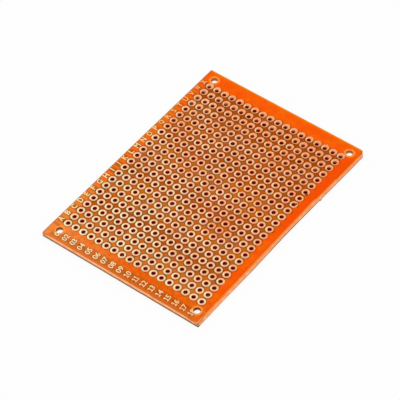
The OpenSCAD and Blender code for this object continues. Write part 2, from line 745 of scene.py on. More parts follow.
@dataclass(frozen=True)
class BrokenEdgeFinish:
    """Scored and snapped edge: layered paper, pale and dry where the web tore."""

    sizes: BoardSizes
    scored: Colour = (0.97, 0.345, 0.112)
    resin: Colour = (0.93, 0.17, 0.012)
    torn: Colour = (0.96, 0.50, 0.27)
    deep: Colour = (0.80, 0.22, 0.06)
    dust: Colour = (0.97, 0.58, 0.35)
    flush_and_shade: Colour = (0.96, 0.29, 0.10)
    frosted: Colour = (0.95, 0.42, 0.19)
    edge_shade: Colour = (0.10, 0.045, 0.022)
    split: Colour = (0.30, 0.09, 0.03)

    # Radians to the millimetre of height at which split plies follow each other, and how many more by A18
    ply_rate: float = 10.0
    finer_plies: float = 8.0

    def splits(self, g: ShaderGraph, paint: Paint, plies: Value, numbered: Value) -> None:
        """Lay on the plies that have split at the corners: widest at A01, and a little at A18 and X18.

        Args:
            g: The material's tree.
            paint: The colour so far.
            plies: Noise in long, thin streaks along the edge.
            numbered: 1 on the numbered edge.
        """
        last = g.x.rise(24.0, 24.6)
        near = (abs(g.x) + plies * 3.0).rise(22.6, 25.4) * numbered
        far = (plies * 2.0 + g.y).rise(33.2, 34.8) * last
        first = (plies * 4.0 + g.y).rise(-28.0, -31.0) * last
        ends = near.most(far.most(first * 0.5))
        layers = (g.z * (first * self.finer_plies + self.ply_rate) + plies * 5.0).wave()
        paint.lay(ends * layers.rise(0.1, 0.6) * 0.8, self.split)
        paint.lay(ends * layers.rise(-0.2, -0.7) * 0.5, self.dust)

    def material(self) -> bpy.types.Material:
        """Build the material.

        Returns:
            The material.
        """
        s = self.sizes
        g = ShaderGraph("phenolic_edge")
        half, web = s.thickness / 2, s.thickness / 2 - s.score_depth
        in_web = abs(g.z - half).rise(web + 0.08, web - 0.08)
        numbered = g.y.rise(-34.2, -34.7)
        paint = Paint(g, self.scored)
        paint.lay(numbered, self.frosted)
        paint.lay(in_web, self.torn)

        # Plies of paper run along the edge, so their streaks are long and thin
        plies = g.grain(1.1, 4.0, 0.65, squeeze=(0.5, 0.5, 9.0))
        speck = g.grain(7.0, 3.0, 0.7)
        paint.lay(plies.rise(0.52, 0.72) * 0.55, self.deep)
        paint.lay(speck.rise(0.58, 0.75) * 0.5, self.dust)

        # Blotches of richer resin show where the groove cut less deep, and lifted paper streaks along it
        paint.lay(g.grain(0.9, 3.0, 0.6).rise(0.5, 0.68) * 0.6, self.flush_and_shade)
        streak = g.grain(1.0, squeeze=(0.6, 0.6, 5.0))
        paint.lay(streak.rise(0.52, 0.66) * 0.55, self.dust)
        paint.lay(streak.rise(0.48, 0.34) * 0.4, self.deep)

        # The groove beside the last column only grazed the resin at its upper border
        grazed = (speck * 0.1 + g.z).rise(1.05, 1.21) * g.x.rise(24.0, 24.4)
        paint.lay(grazed * 0.9, self.resin)
        self.splits(g, paint, plies, numbered)

        # Painted shade at the foot of the web, where the board meets the table: most of all along the
        # numbered edge and at the middle of the right edge, less at its near part
        foot = speck * 0.16 + (g.z - 0.08 - numbered * 0.2)
        middle = g.y.rise(-6.0, -1.0) * g.y.rise(15.0, 10.0)
        less_shade = g.y.rise(-14.0, -26.0) * (1.0 - numbered)
        shaded = numbered * 0.2 + (middle * 0.32 + 0.66) - less_shade * 0.4
        paint.lay(foot.rise(0.76, 0.62) * shaded, self.edge_shade)
        return g.surface(
            Base_Color=paint.colour,
            Roughness=speck * 0.3 + 0.55,
            Normal=g.relief(plies * 0.7 + speck * 0.3, 0.6, 0.06),
            Specular_IOR_Level=0.1,
        )


@dataclass(frozen=True)
class PunchedWallFinish:
    """Wall of a punched hole: resin painted dark red as shade above, torn fibre at the break-out."""

    sizes: BoardSizes
    bore_shade: Colour = (0.30, 0.003, 0.0004)
    lighter: Colour = (0.38, 0.016, 0.002)
    far_wall_light: Colour = (0.60, 0.19, 0.07)
    wide_bore: Colour = (0.22, 0.03, 0.005)
    far_bore: Colour = (0.60, 0.19, 0.04)
    wide_foot: Colour = (0.80, 0.45, 0.22)
    torn: Colour = (0.72, 0.17, 0.035)
    shaded: Colour = (0.34, 0.035, 0.006)

    def material(self) -> bpy.types.Material:
        """Build the material.

        Returns:
            The material.
        """
        s = self.sizes
        g = ShaderGraph("punched_wall")
        drag = g.grain(1.0, 3.0, squeeze=(6.0, 6.0, 1.0))
        # The walls are painted dark red as shade, with lighter drag streaks
        paint = Paint(g, self.bore_shade)
        paint.lay(drag.rise(0.4, 0.75), self.lighter)
        # Painted light on the upper walls of the holes in the far rows
        uneven = g.grain(0.3, 1.0) * 2.4 - 1.2
        paint.lay(g.y.rise(4.0, 30.0) * (g.z + uneven).rise(0.65, 1.15) * 0.85, self.far_wall_light)

        # The mounting holes have walls painted dark above as shade, lighter at the far holes and a little
        # at the left ones, and pale below, partly torn fibre and partly painted light
        mount = from_mounts(g, s).rise(s.mount_radius + 0.4, s.mount_radius + 0.3)
        far_light = g.y.rise(-10.0, 10.0).most(g.x.rise(0.0, -10.0) * 0.4)
        bore = Paint(g, self.wide_bore)
        bore.lay(far_light, self.far_bore)
        bore.lay((g.z - drag * 0.5).rise(0.5, 0.05), self.wide_foot)
        paint.lay(mount, bore.colour)
        # At the break-out the lead holes take another dark painted shade, and the mounting holes torn pale
        # fibre
        torn = (g.z - drag * 0.2).rise(s.breakout_depth, 0.0)
        paint.lay(torn, g.blend(mount, self.shaded, self.torn))
        return g.surface(
            Base_Color=paint.colour,
            Roughness=drag * 0.3 + 0.4,
            Normal=g.relief(drag, 0.4, 0.03),
            Specular_IOR_Level=0.04,
        )


@dataclass(frozen=True)
class CopperFinish:
    """Etched copper under a thin flux lacquer, paler at the handled end and pinker at the other, partly
    tarnish and partly painted shade, with painted light and shade on each pad.

    A spot on it, dulled or corroded, is given by its X, Y and radius.
    """

    sizes: BoardSizes
    pale: Colour = (1.0, 0.93, 0.58)
    pink: Colour = (0.98, 0.335, 0.11)
    lacquer_and_sheen: Colour = (1.0, 0.90, 0.54)
    far_lacquer_and_sheen: Colour = (1.0, 0.70, 0.42)
    wiped_and_glint: Colour = (1.0, 1.0, 0.67)
    flush_and_shade: Colour = (0.86, 0.28, 0.12)
    yellowed_and_sheen: Colour = (1.0, 0.84, 0.25)
    dim: Colour = (0.80, 0.19, 0.06)
    far_marks: Colour = (1.0, 0.49, 0.11)
    tarnished: Colour = (0.68, 0.235, 0.10)
    verdigris: Colour = (0.085, 0.075, 0.02)

    # The copper ages and darkens with painted shade along one way across the board, in deep clouds, over a
    # span of places on that way
    age_and_shade_way: Pair = (0.3, 0.62)
    age_and_shade_cloud: float = 60.0
    age_and_shade_span: Pair = (-15.0, 57.0)

    # Spots that have aged further, by so much of the span
    dulling: float = 16.0
    dulled: tuple[Triple, ...] = ((10.4, -7.6, 4.6), (0.6, 3.0, 3.4), (14.6, 5.0, 4.6))
    corroded: tuple[Triple, ...] = ((22.15, 14.05, 0.42), (22.0, 9.96, 0.3), (22.0, 21.75, 0.18))

    # The way from the middle of a pad away from its painted glint
    glint_way: Pair = (0.77, 0.64)

    def age(self, g: ShaderGraph) -> Value:
        """Age the copper along the board and darken it with painted shade, in clouds and in a few dulled
        spots.

        Args:
            g: The material's tree.

        Returns:
            How far it has aged and darkened, from 0 at the handled end to 1.
        """
        worn = g.x * self.age_and_shade_way[0] + g.y * self.age_and_shade_way[1] + g.grain(0.12, 2.0) * self.age_and_shade_cloud
        for x, y, radius in self.dulled:
            worn = g.span(g.x - x, g.y - y).rise(radius, radius * 0.5) * self.dulling + worn
        return worn.rise(*self.age_and_shade_span)

    def lacquer_and_light(self, g: ShaderGraph, paint: Paint, age: Value) -> None:
        """Paint light and shade on each pad: lacquer pooled on one side and thin beside it, with a painted
        highlight on the pooled side, painted shade on the other sides, a painted glint, and a painted
        highlight near the rim.

        Args:
            g: The material's tree.
            paint: The colour so far.
            age: How far the copper has aged and darkened with painted shade.
        """
        across, along = in_cell(g, self.sizes, etched=True)
        # The pooled side is partly lacquer and partly painted highlight, and the thin side beside it is
        # painted shade
        pooled_sheen = (across + along).rise(0.2, -1.1) * (0.52 - age * 0.2)
        paint.lay(pooled_sheen, g.blend(age, self.lacquer_and_sheen, self.far_lacquer_and_sheen))
        paint.lay((across - along).rise(0.1, 1.1) * 0.3, self.flush_and_shade)
        # A painted glint on the pooled side
        glint = (across * self.glint_way[0] + along * self.glint_way[1]).rise(-0.5, -0.95)
        paint.lay(glint * (0.75 - age * 0.5), self.wiped_and_glint)
        # Painted shade on the upper side, and in the far rows on the lower side
        upper = along.rise(0.4, 0.9) * (0.4 - age * 0.4)
        lower = along.rise(-0.45, -0.95) * (age * 0.45)
        paint.lay(upper + lower, self.flush_and_shade)
        # A painted highlight near the rim
        rim = g.span(across, along).rise(0.85, 1.08) * 0.3
        paint.lay(rim, g.blend(age, self.yellowed_and_sheen, self.far_marks))

    def marks(self, g: ShaderGraph, paint: Paint) -> None:
        """Lay on the letters' yellowing, which is deeper for the marks furthest along each margin.

        Args:
            g: The material's tree.
            paint: The colour so far.
        """
        yellow = Paint(g, self.yellowed_and_sheen)
        yellow.lay(g.y.rise(0.0, 18.0), self.far_marks)
        yellow.lay(g.grain(0.45, 1.0).rise(0.44, 0.6) * 0.5, self.lacquer_and_sheen)
        paint.lay(g.x.rise(-22.9, -23.1) * 0.85, yellow.colour)
        paint.lay(g.y.rise(-31.2, -31.4) * g.x.rise(0.0, 6.0) * 0.25, self.far_marks)

    def material(self) -> bpy.types.Material:
        """Build the material.

        Returns:
            The material.
        """
        g = ShaderGraph("copper_foil")
        age = self.age(g)
        # Paler at the handled end and pinker at the other, partly tarnish and partly painted shade
        paint = Paint(g, self.pale)
        paint.lay(age, self.pink)
        # Painted shade towards the far corner of the last column
        paint.lay((g.y * 0.6 + g.x).rise(24.0, 40.0) * 0.25, self.dim)
        self.lacquer_and_light(g, paint, age)
        self.marks(g, paint)

        # Each pad has its own shade, with wiped streaks across it
        wipe = g.grain(1.0, 4.0, 0.65, squeeze=(1.2, 5.0, 1.0))
        paint.lay(wipe.rise(0.54, 0.7) * 0.4, self.wiped_and_glint)
        speckle = g.grain(2.2, 3.0, 0.6)
        paint.lay(g.attribute(TARNISH) * 0.2 + speckle.rise(0.5, 0.8) * 0.36, self.tarnished)

        # A few pads of the last column have corroded at one side
        for x, y, radius in self.corroded:
            eaten = (speckle * 0.2 + g.span(g.x - x, g.y - y)).rise(radius + 0.15, radius)
            paint.lay(eaten, self.verdigris)
        return g.surface(
            Base_Color=paint.colour,
            Metallic=0.6,
            Roughness=wipe * 0.3 + 0.27,
            Normal=g.relief(wipe, 0.3, 0.012),
            Coat_Weight=0.25,
            Coat_Roughness=0.25,
        )


@dataclass(frozen=True)
class FloorFinish:
    """Matt white table that shows nearly as white as the surround, and still takes a soft shadow.

    Under the lead holes it shows as dark as it is, so that they don't glow.
    """

    white: Colour = (0.955, 0.955, 0.955)
    shade: Colour = (0.94, 0.94, 0.94)
    lift: float = 0.86
    dark_area: Pair = (24.0, 30.4)

    def material(self) -> bpy.types.Material:
        """Build the material.

        Returns:
            The material.
        """
        g = ShaderGraph("white_table")
        clear = abs(g.x).above(self.dark_area[0]).most(abs(g.y).above(self.dark_area[1]))
        material = g.surface(
            Base_Color=g.blend(g.grain(0.02, 2.0), self.shade, self.white),
            Roughness=0.9,
            Specular_IOR_Level=0.0,
        )
        lit = g.output.inputs["Surface"].links[0].from_socket
        bright = g.nodes.new("ShaderNodeEmission")
        both = g.nodes.new("ShaderNodeMixShader")
        seen = Value(g, seen_directly(material.node_tree))
        g.feed(both.inputs[0], seen * (clear * self.lift))
        g.feed(both.inputs[1], lit)
        g.feed(both.inputs[2], bright.outputs[0])
        g.feed(g.output.inputs["Surface"], both.outputs[0])
        return material


def placed(name: str, data: bpy.types.ID) -> bpy.types.Object:
    """Put a new object into the scene, at the origin.

    Args:
        name: The object's name.
        data: Its mesh, light or camera.

    Returns:
        The object.
    """
    made = bpy.data.objects.new(name, data)
    bpy.context.scene.collection.objects.link(made)
    return made


def evaluated(holder: bpy.types.Object) -> bpy.types.Mesh:
    """Make a plain mesh of what an object's modifiers give.

    Args:
        holder: The object, which is removed.

    Returns:
        The mesh.
    """
    bpy.context.view_layer.update()
    graph = bpy.context.evaluated_depsgraph_get()
    mesh = bpy.data.meshes.new_from_object(holder.evaluated_get(graph), depsgraph=graph)
    bpy.data.objects.remove(holder)
    return mesh


class GeometryGraph:
    """A Geometry Nodes tree with named inputs, and short calls for its nodes."""

    def __init__(self, name: str) -> None:
        """Start a tree that takes and gives geometry.

        Args:
            name: The tree's name.
        """
        self.tree = bpy.data.node_groups.new(name, "GeometryNodeTree")
        self.tree.is_modifier = True
        self.identifiers: dict[str, str] = {}
        self.tree.interface.new_socket("Geometry", in_out="INPUT", socket_type="NodeSocketGeometry")
        self.tree.interface.new_socket("Geometry", in_out="OUTPUT", socket_type="NodeSocketGeometry")
        self.inputs = self.tree.nodes.new("NodeGroupInput")
        self.outputs = self.tree.nodes.new("NodeGroupOutput")

    def offer(self, **kinds: str) -> None:
        """Add named inputs.

        Args:
            kinds: Each input's name, with underscores for spaces, and its kind of socket.
        """
        for name, kind in kinds.items():
            label = name.replace("_", " ")
            socket = self.tree.interface.new_socket(label, in_out="INPUT", socket_type=f"NodeSocket{kind}")
            self.identifiers[name] = socket.identifier

    def given(self, name: str) -> Socket:
        """The socket of a named input inside the tree."""
        return next(s for s in self.inputs.outputs if s.identifier == self.identifiers[name])

    def node(
        self, kind: str, inputs: dict[str | int, object] | None = None, **settings: object
    ) -> bpy.types.Node:
        """Add a node.

        Args:
            kind: The node's type.
            inputs: Its inputs by name or number, each an output socket or a constant.
            settings: Its own settings.

        Returns:
            The node.
        """
        made = self.tree.nodes.new(kind)
        for name, value in settings.items():
            setattr(made, name, value)
        for name, value in (inputs or {}).items():
            if isinstance(value, bpy.types.NodeSocket):
                self.tree.links.new(value, made.inputs[name])
            else:
                made.inputs[name].default_value = value
        return made

    def math(self, operation: str, *values: "Socket | float") -> Socket:
        """One Math node's result."""
        return self.node("ShaderNodeMath", dict(enumerate(values)), operation=operation).outputs[0]

    def vector(self, x: "Socket | float", y: "Socket | float", z: "Socket | float") -> Socket:
        """A vector of three parts."""
        return self.node("ShaderNodeCombineXYZ", {0: x, 1: y, 2: z}).outputs[0]

    def scatter(self, least: Socket, most: Socket, seed: "Socket | int") -> Socket:
        """A random vector for each point, between two vectors."""
        inputs = {0: least, 1: most, "Seed": seed}
        return self.node("FunctionNodeRandomValue", inputs, data_type="FLOAT_VECTOR").outputs[0]

    def parts(self, field_kind: str) -> tuple[Socket, Socket, Socket]:
        """The three parts of a vector that a field node gives, such as the position or the normal."""
        split = self.node("ShaderNodeSeparateXYZ", {0: self.node(field_kind).outputs[0]})
        return split.outputs[0], split.outputs[1], split.outputs[2]

    def store(self, geometry: Socket, name: str, value: Socket, domain: str, kind: str) -> Socket:
        """Keep a value under a name in the geometry.

        Args:
            geometry: The geometry.
            name: The value's name.
            value: The value.
            domain: Blender's name of what carries it.
            kind: Blender's name of its type.

        Returns:
            The geometry with the value.
        """
        inputs = {"Geometry": geometry, "Name": name}
        keep = self.node("GeometryNodeStoreNamedAttribute", inputs, domain=domain, data_type=kind)
        self.tree.links.new(value, next(s for s in keep.inputs if s.name == "Value" and s.enabled))
        return keep.outputs[0]

    def choose(self, number: Socket, values: list[Socket], kind: str) -> Socket:
        """Pick one of several values by its number.

        Args:
            number: The number of the value to take, from 0.
            values: The values.
            kind: Blender's name of their type.

        Returns:
            The picked value's socket.
        """
        pick = self.node("GeometryNodeIndexSwitch", data_type=kind)
        for _ in values[2:]:
            pick.index_switch_items.new()
        for socket, value in zip(pick.inputs, (number, *values)):
            self.tree.links.new(value, socket)
        return pick.outputs[0]

    def close(self, geometry: Socket) -> None:
        """Give the tree's result."""
        self.tree.links.new(geometry, self.outputs.inputs[0])

    def apply(self, name: str, blank: bpy.types.Mesh, values: dict[str, object]) -> bpy.types.Mesh:
        """Run the tree on a mesh.

        Args:
            name: The new mesh's name.
            blank: The mesh that the tree takes.
            values: The named inputs' values, in metres.

        Returns:
            The result as a plain mesh.
        """
        holder = placed(name + "_blank", blank)
        modifier = holder.modifiers.new(self.tree.name, "NODES")
        modifier.node_group = self.tree
        for key, value in values.items():
            modifier[self.identifiers[key]] = value
        mesh = evaluated(holder)
        mesh.name = name
        drop_empty_slots(mesh)
        return mesh


def drop_empty_slots(mesh: bpy.types.Mesh) -> None:
    """Take out material slots that hold nothing, with every face keeping its material.

    Args:
        mesh: The mesh to change.
    """
    kept = [number for number, material in enumerate(mesh.materials) if material]
    found = [kept.index(face.material_index) for face in mesh.polygons]
    materials = [mesh.materials[number] for number in kept]
    mesh.materials.clear()
    for material in materials:
        mesh.materials.append(material)
    mesh.polygons.foreach_set("material_index", found)


def seat(mesh: bpy.types.Mesh, name: str, slot: Slot, *nodes: str) -> bpy.types.Object:
    """Make a piece of a finished mesh and fix it to the board.

    Args:
        mesh: The mesh, in metres in the board's frame.
        name: The piece's name.
        slot: The record's material slot, which is not used.
        nodes: The CAD nodes that the piece stands for.

    Returns:
        The piece.
    """
    piece = placed(name, mesh)
    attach(piece, BODY)
    if nodes:
        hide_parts(*nodes)
    return piece


def smooth_below(mesh: bpy.types.Mesh, degrees: float) -> None:
    """Shade a mesh smooth but for edges sharper than an angle."""
    mesh.polygons.foreach_set("use_smooth", [True] * len(mesh.polygons))
    mesh.set_sharp_from_angle(angle=math.radians(degrees))


@dataclass(frozen=True)
class Chip:
    """A place where an edge broke away from its line, as a soft bump along the edge."""

    edge: Edge
    at: float
    length: float
    upper: float
    web: float

    def reach(self, place: float) -> float:
        """How much of the chip's full depth there is at a place along its edge."""
        off = abs(place - self.at) / (self.length / 2)
        return 0.0 if off >= 1 else (1 - off * off) ** 2


@dataclass(frozen=True)
class Punch:
    """The tool for one kind of hole: the sides of its round, the share its holes vary by, and a seed."""

    hole: Hole
    sides: int
    spread: float
    seed: int


def outward(run: Vector) -> Vector:
    """The way out of the sheet from an edge that runs a given way."""
    return Vector((run.y, -run.x))


def crossing(start: Vector, run: Vector, other_start: Vector, other_run: Vector) -> Vector:
    """Where two flat lines cross, each given by a point and a direction."""
    return start + run * ((other_start - start).cross(other_run) / run.cross(other_run))


@dataclass
class Laminate:
    """The punched sheet: a scored, snapped blank that Geometry Nodes punch through.

    The snapped outline is a little out of square. Its corners lie at A01, A18, X18 and X01, in the
    order of the edges that start there. One is broken off straight, and the others are worn round.
    An edge's line gives places along it, with how far the web stands out of the straight there and
    how far the upper face stands in from the web.
    """

    sizes: BoardSizes
    corners: tuple[Pair, ...] = ((-25.1, -35.44), (25.42, -35.2), (25.9, 34.95), (-25.1, 35.18))
    corner_radii: tuple[float, float, float, float] = (1.0, 0.25, 1.35, 0.5)
    cut_corner: int = 2
    cut_slant: float = 0.7
    lower_bevel: float = 0.245
    edge_lines: dict[Edge, tuple[Triple, ...]] = field(
        default_factory=lambda: {
            Edge.NUMBERED: ((-25.0, 0.0, 0.5), (0.0, -0.01, 0.46), (25.0, 0.0, 0.4)),
            Edge.RIGHT: (
                (-35.0, 0.12, 0.82),
                (-24.0, 0.03, 0.78),
                (-12.0, 0.02, 0.85),
                (0.5, -0.2, 0.73),
                (7.0, -0.17, 0.8),
                (12.9, -0.08, 0.93),
                (13.6, -0.07, 1.0),
                (14.5, -0.05, 0.66),
                (21.6, 0.1, 0.76),
                (23.0, 0.13, 0.56),
                (31.0, 0.2, 0.62),
                (35.0, 0.05, 0.45),
            ),
            Edge.FAR: ((-25.0, 0.0, 0.245), (25.0, 0.0, 0.245)),
            Edge.LETTERED: ((-35.0, 0.0, 0.245), (35.0, 0.0, 0.245)),
        }
    )
    chips: tuple[Chip, ...] = (
        Chip(Edge.RIGHT, 15.3, 0.9, 0.0, -0.28),
        Chip(Edge.RIGHT, 22.2, 1.6, 0.1, 0.05),
        Chip(Edge.RIGHT, 32.9, 1.4, 0.0, -0.16),
        Chip(Edge.NUMBERED, 9.0, 4.0, 0.06, 0.04),
    )
    sample: float = 0.3
    corner_samples: int = 6
    tear: float = 0.07
    grazed: float = 4.0
    seed: int = 7

    # A loop that stands in has corners that much tighter, down to a least radius
    corner_taper: float = 0.25
    corner_least: float = 0.12

    # The tear is a mean and two noises, with so many waves to the millimetre along the edge and upwards
    fine_waves: Pair = (2.6, 5.0)
    wide_waves: Pair = (0.35, 1.5)
    tear_mean: float = 0.5
    tear_share: float = 0.6

    # The punches run out past the face, and the rim below them strays by a share of the break-out
    punches: tuple[Punch, ...] = (Punch(Hole.LEAD, 16, 0.06, 11), Punch(Hole.MOUNT, 48, 0.02, 23))
    overrun: float = 0.4
    fray: float = 0.9
    rolled_depth: float = 0.06

    # Faces this far inside the border that lean from the level are walls of holes
    border: float = 0.9
    level_normal: float = 0.99
    crease: float = 35.0

    def levels(self) -> list[Triple]:
        """The loops that the edge is made of, from the underside up.

        Returns:
            Each loop's height, share of the bevel and share of the tear.
        """
        s = self.sizes
        low, high = s.score_depth, s.thickness - s.score_depth
        web = high - low
        return [
            (0.0, 1.0, 0.2),
            (low * 0.5, 0.5, 0.3),
            (low, 0.0, 0.5),
            (low + web * 0.35, 0.0, 1.0),
            (low + web * 0.7, 0.0, 1.0),
            (high, 0.0, 0.6),
            (high + low * 0.5, 0.5, 0.4),
            (s.thickness, 1.0, 0.3),
        ]

    def loop(self, height: float, bevel: float, rag: float) -> Iterator[Vector]:
        """Walk once round the sheet at one height.

        Args:
            height: Z of the loop.
            bevel: Share of each edge's bevel that the loop stands in by.
            rag: Share of the full tear that the loop wanders by.

        Yields:
            Each point of the loop, in millimetres.
        """
        edges = list(Edge)
        outline = [Vector(corner) for corner in self.corners]
        runs = [(outline[(i + 1) % 4] - outline[i]).normalized() for i in range(4)]
        upper = height > self.sizes.thickness / 2

        # Each edge's line at this height, between the places of its two ends
        starts, leans = [], []
        for i, edge in enumerate(edges):
            out = outward(runs[i])
            ends = [outline[i], outline[(i + 1) % 4]]
            start, end = (p + out * self.departure(edge, self.along(p, edge), bevel, upper) for p in ends)
            starts.append(start)
            leans.append((end - start).normalized())
        corners = [crossing(starts[i - 1], leans[i - 1], starts[i], leans[i]) for i in range(4)]
        radii = [max(r - self.corner_taper * bevel, self.corner_least) for r in self.corner_radii]

        for i, edge in enumerate(edges):
            following = (i + 1) % 4
            start, end = corners[i], corners[following]
            first, last = radii[i], radii[following]
            run, turned = leans[i], leans[following]
            whole = (end - start).length
            count = round((outline[following] - outline[i]).length / self.sample)
            ends = [self.departure(edge, self.along(p, edge), bevel, upper) for p in (start, end)]
            rough = rag * (self.grazed if edge is Edge.RIGHT and upper and bevel else 1)
            for step in range(count + 1):
                walked = first + (whole - first - last) * step / count
                flat = start + run * walked
                along = self.along(flat, edge)
                share = walked / whole
                bow = self.departure(edge, along, bevel, upper) - ends[0] * (1 - share) - ends[1] * share
                move = bow - self.broken(edge, along, bevel, upper) - self.tear_at(flat, height) * rough
                yield self.raised(flat + outward(run) * move, height)
            for flat, way in self.corner(following, end, run, turned, last):
                yield self.raised(flat - way * self.tear_at(flat, height) * rag, height)

    def corner(
        self, number: int, tip: Vector, run: Vector, turned: Vector, radius: float
    ) -> Iterator[tuple[Vector, Vector]]:
        """Walk round one corner, which is worn round or broken off straight.

        Args:
            number: The corner's number.
            tip: Where the lines of its two edges cross.
            run: The way that the edge before it runs.
            turned: The way that the edge after it runs.
            radius: How far before the tip it starts.

        Yields:
            Each point on it, and the way out of the sheet there.
        """
        centre = tip - run * radius + turned * radius
        for step in range(1, self.corner_samples):
            share = step / self.corner_samples
            angle = math.pi / 2 * share
            flat = centre + (run * math.sin(angle) - turned * math.cos(angle)) * radius
            if number == self.cut_corner:
                flat = tip - run * radius * (1 - share) + turned * radius * share * self.cut_slant
            yield flat, (outward(run) * math.cos(angle) + outward(turned) * math.sin(angle)).normalized()

    @staticmethod
    def along(place: Vector, edge: Edge) -> float:
        """A point's place along an edge: its X on the short edges and its Y on the long ones."""
        return place.x if edge in (Edge.NUMBERED, Edge.FAR) else place.y

    @staticmethod
    def raised(flat: Vector, height: float) -> Vector:
        """A flat point at a height."""
        return Vector((flat.x, flat.y, height))

    def departure(self, edge: Edge, along: float, bevel: float, upper: bool) -> float:
        """How far a loop stands out of the straight line between an edge's corners.

        Args:
            edge: The edge.
            along: The place along it.
            bevel: Share of the bevel that the loop stands in by.
            upper: Whether the loop lies above the web's middle, where the bevel varies.

        Returns:
            The distance, below 0 where the loop stands in.
        """
        line = self.edge_lines[edge]
        for (at, *before), (next_at, *after) in zip(line, line[1:]):
            if along <= next_at:
                break
        share = min(max((along - at) / (next_at - at), 0.0), 1.0)
        out, inset = (a + (b - a) * share for a, b in zip(before, after))
        return out - (inset if upper else self.lower_bevel) * bevel

    def broken(self, edge: Edge, along: float, bevel: float, upper: bool) -> float:
        """How far an edge's chips take a loop in.

        Args:
            edge: The edge.
            along: The place along it.
            bevel: Share of the bevel, which says whether a chip's upper or web depth holds.
            upper: Whether the loop lies above the web's middle.

        Returns:
            The distance.
        """
        found = [chip for chip in self.chips if chip.edge is edge]
        depths = [chip.upper * bevel * upper + chip.web * (1 - bevel) for chip in found]
        return sum(depth * chip.reach(along) for depth, chip in zip(depths, found))

    def tear_at(self, flat: Vector, height: float) -> float:
        """How far the full tear takes a point in."""
        fine, wide = (
            noise.noise(Vector((flat.x * level, flat.y * level, height * upright + seed)))
            for (level, upright), seed in ((self.fine_waves, self.seed), (self.wide_waves, -self.seed))
        )
        return self.tear * (self.tear_mean + self.tear_share * fine + self.tear_share * wide)

    def blank(self) -> bpy.types.Mesh:
        """Make the sheet before it is punched.

        Returns:
            A closed mesh, in metres.
        """
        loops = [list(self.loop(*level)) for level in self.levels()]
        count = len(loops[0])
        points = [p * MM for ring in loops for p in ring]
        faces = [tuple(reversed(range(count)))]
        for k in range(len(loops) - 1):
            for i in range(count):
                j = (i + 1) % count
                faces.append((k * count + i, k * count + j, (k + 1) * count + j, (k + 1) * count + i))
        faces.append(tuple((len(loops) - 1) * count + i for i in range(count)))
        mesh = bpy.data.meshes.new("laminate_blank")
        mesh.from_pydata(points, [], faces)
        mesh.update()
        return mesh

    def punch_shape(self, g: GeometryGraph, tool: Punch) -> Socket:
        """Shape one punch, wider below for the break-out and above for the rolled rim.

        Args:
            g: The tree to build in.
            tool: The tool.

        Returns:
            The punch, with its foot at the origin.
        """
        names = ("Radius", "Breakout", "Rolled")
        radius, breakout, rolled = (g.given(f"{tool.hole.value}_{name}") for name in names)
        deep, lip, overrun = g.given("Breakout_Depth"), g.given("Rolled_Depth"), g.given("Overrun")
        size = {"Vertices": tool.sides, "Side Segments": 3, "Radius": 1.0, "Depth": 2.0}
        drum = g.node("GeometryNodeMeshCylinder", size)

        # The drum's rings from the foot up: past the flare, the flare's end, the rolled rim, past the rim
        x, y, z = g.parts(POSITION)
        ring = g.math("ROUND", g.math("MULTIPLY_ADD", z, 1.5, 1.5))
        past_rim = g.math("DIVIDE", g.math("ADD", lip, overrun), lip)
        radii = [
            g.math("MULTIPLY_ADD", breakout, 2.0, radius),
            radius,
            radius,
            g.math("MULTIPLY_ADD", rolled, past_rim, radius),
        ]
        heights = [
            g.math("MULTIPLY", deep, -1.0),
            deep,
            g.math("SUBTRACT", g.given("Thickness"), lip),
            g.math("ADD", g.given("Thickness"), overrun),
        ]
        wide = g.choose(ring, radii, "FLOAT")
        high = g.choose(ring, heights, "FLOAT")
        point = g.vector(g.math("MULTIPLY", x, wide), g.math("MULTIPLY", y, wide), high)
        return g.node("GeometryNodeSetPosition", {0: drum.outputs[0], "Position": point}).outputs[0]

    def punch(self, g: GeometryGraph, tool: Punch, sites: Socket) -> Socket:
        """Set punches at a number of sites, each flared below where the sheet breaks out ragged.

        Args:
            g: The tree to build in.
            tool: The tool. Its seed is that of the break-out, and the holes' sizes take the next.
            sites: Points at the underside.

        Returns:
            The realized punches.
        """
        small, large = (g.vector(1 + off, 1 + off, 1.0) for off in (-tool.spread, tool.spread))
        scale = g.scatter(small, large, tool.seed + 1)
        inputs = {"Points": sites, "Instance": self.punch_shape(g, tool), "Scale": scale}
        copies = g.node("GeometryNodeInstanceOnPoints", inputs)
        whole = g.node("GeometryNodeRealizeInstances", {0: copies.outputs[0]})

        # Below the sheet, each point of the flare strays to leave a ragged rim
        ragged = g.math("MULTIPLY", g.given(f"{tool.hole.value}_Breakout"), g.given("Fray"))
        back = g.math("MULTIPLY", ragged, -1.0)
        jitter = g.scatter(g.vector(back, back, 0.0), g.vector(ragged, ragged, 0.0), tool.seed)
        below = g.math("LESS_THAN", g.parts(POSITION)[2], 0.0)
        moves = {0: whole.outputs[0], "Selection": below, "Offset": jitter}
        return g.node("GeometryNodeSetPosition", moves).outputs[0]

    def strays(self, g: GeometryGraph, hole: Hole) -> Socket:
        """How far the punch strays at each hole of a kind.

        Args:
            g: The tree to build in.
            hole: The kind of hole.

        Returns:
            The stray as a vector, over a grid whose middle is the origin.
        """
        s = self.sizes
        if hole is Hole.MOUNT:
            struck = [g.vector(across * MM, along * MM, 0.0) for across, along in s.mount_struck]
            return g.choose(g.node("GeometryNodeInputIndex").outputs[0], struck, "VECTOR")
        _, y, _ = g.parts(POSITION)
        share = g.math("DIVIDE", y, g.math("MULTIPLY", g.given("Lead_Y"), 0.5))
        square = g.math("MULTIPLY", share, share)
        across, along = (
            g.math("MULTIPLY_ADD", square, (end - middle) * MM, middle * MM)
            for middle, end in zip(s.struck_middle, s.struck_ends)
        )
        return g.vector(across, along, 0.0)

